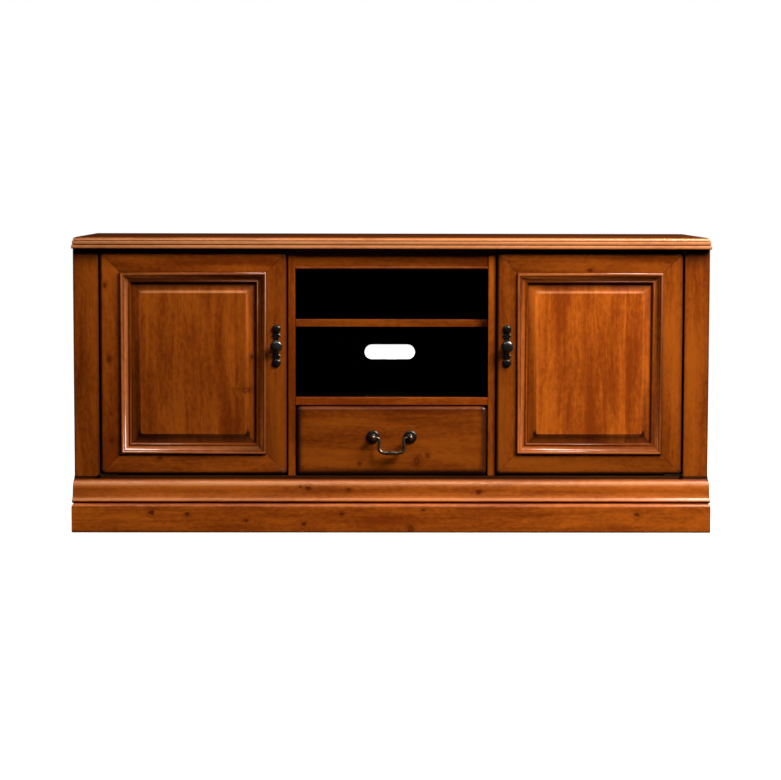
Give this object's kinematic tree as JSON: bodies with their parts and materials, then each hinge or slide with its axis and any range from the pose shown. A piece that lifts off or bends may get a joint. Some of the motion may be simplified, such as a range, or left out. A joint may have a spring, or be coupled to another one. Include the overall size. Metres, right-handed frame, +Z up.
{
  "type": "media console",
  "caption": "Low wide media console in stained pine: panelled doors on pivot hinges beside open equipment bays over a drawer with a bail pull, under a moulded top and on a moulded plinth.",
  "frame": {"origin": "middle of the footprint's box, on the floor", "axes": "+X to the right along the width as seen from the front, +Y towards the back, +Z up; the front faces -Y"},
  "size_m": [1.505, 0.48, 0.695],
  "materials": {
    "stained_pine": "orange-brown stain with a darker glaze in the edges, satin lacquer",
    "inner_pine": "dark stain, thin matt lacquer",
    "drawer_pine": "plain pine, light lacquer",
    "back_board": "stained hardboard, matt",
    "dark_bronze": "dark bronze patina, rubbed bright on the high spots",
    "hinge_brass": "darkened brass, satin",
    "catch_case": "brown moulded plastic"
  },
  "bodies": {
    "carcass": {"top_board": "stained_pine", "left_side_panel": "stained_pine", "right_side_panel": "stained_pine", "left_face_stile": "stained_pine", "right_face_stile": "stained_pine", "left_partition": "stained_pine", "right_partition": "stained_pine", "left_stop_rail": "inner_pine", "right_stop_rail": "inner_pine", "left_cupboard_shelf": "inner_pine", "right_cupboard_shelf": "inner_pine", "left_door_catch": "catch_case", "right_door_catch": "catch_case", "bottom_panel": "inner_pine", "front_bottom_rail": "stained_pine", "drawer_deck": "stained_pine", "centre_shelf": "stained_pine", "centre_top_rail": "stained_pine", "back_panel": "back_board", "base_moulding_front": "stained_pine", "base_moulding_left": "stained_pine", "base_moulding_right": "stained_pine", "plinth_front": "stained_pine", "plinth_left": "stained_pine", "plinth_right": "stained_pine", "plinth_rear": "inner_pine", "left_drawer_runner": "drawer_pine", "right_drawer_runner": "drawer_pine", "left_bottom_hinge_case_leaf": "hinge_brass", "left_top_hinge_case_leaf": "hinge_brass", "right_bottom_hinge_case_leaf": "hinge_brass", "right_top_hinge_case_leaf": "hinge_brass"},
    "left_door": {"left_door_bottom_rail": "stained_pine", "left_door_top_rail": "stained_pine", "left_door_hinge_stile": "stained_pine", "left_door_lock_stile": "stained_pine", "left_door_panel": "stained_pine", "left_panel_moulding": "stained_pine", "left_knob_plate": "dark_bronze", "left_knob": "dark_bronze", "left_bottom_hinge_door_leaf": "hinge_brass", "left_top_hinge_door_leaf": "hinge_brass"},
    "right_door": {"right_door_bottom_rail": "stained_pine", "right_door_top_rail": "stained_pine", "right_door_hinge_stile": "stained_pine", "right_door_lock_stile": "stained_pine", "right_door_panel": "stained_pine", "right_panel_moulding": "stained_pine", "right_knob_plate": "dark_bronze", "right_knob": "dark_bronze", "right_bottom_hinge_door_leaf": "hinge_brass", "right_top_hinge_door_leaf": "hinge_brass"},
    "drawer": {"drawer_front": "stained_pine", "drawer_left_side": "drawer_pine", "drawer_right_side": "drawer_pine", "drawer_back": "drawer_pine", "drawer_bottom": "drawer_pine", "left_pull_post": "dark_bronze", "right_pull_post": "dark_bronze"},
    "bail": {"drawer_bail": "dark_bronze"}
  },
  "joints": [
    {"name": "left_door_hinge", "type": "hinge", "parent": "carcass", "child": "left_door", "pos_m": [-0.68725, -0.2145, 0.399], "axis": [0, 0, -1], "range_deg": [0, 110]},
    {"name": "right_door_hinge", "type": "hinge", "parent": "carcass", "child": "right_door", "pos_m": [0.68725, -0.2145, 0.399], "axis": [0, 0, 1], "range_deg": [0, 110]},
    {"name": "drawer_slide", "type": "slide", "parent": "carcass", "child": "drawer", "axis": [0, -1, 0], "range_m": [0, 0.28]},
    {"name": "bail_swing", "type": "hinge", "parent": "drawer", "child": "bail", "pos_m": [0, -0.227, 0.224], "axis": [-1, 0, 0], "range_deg": [-18, 190]}
  ]
}
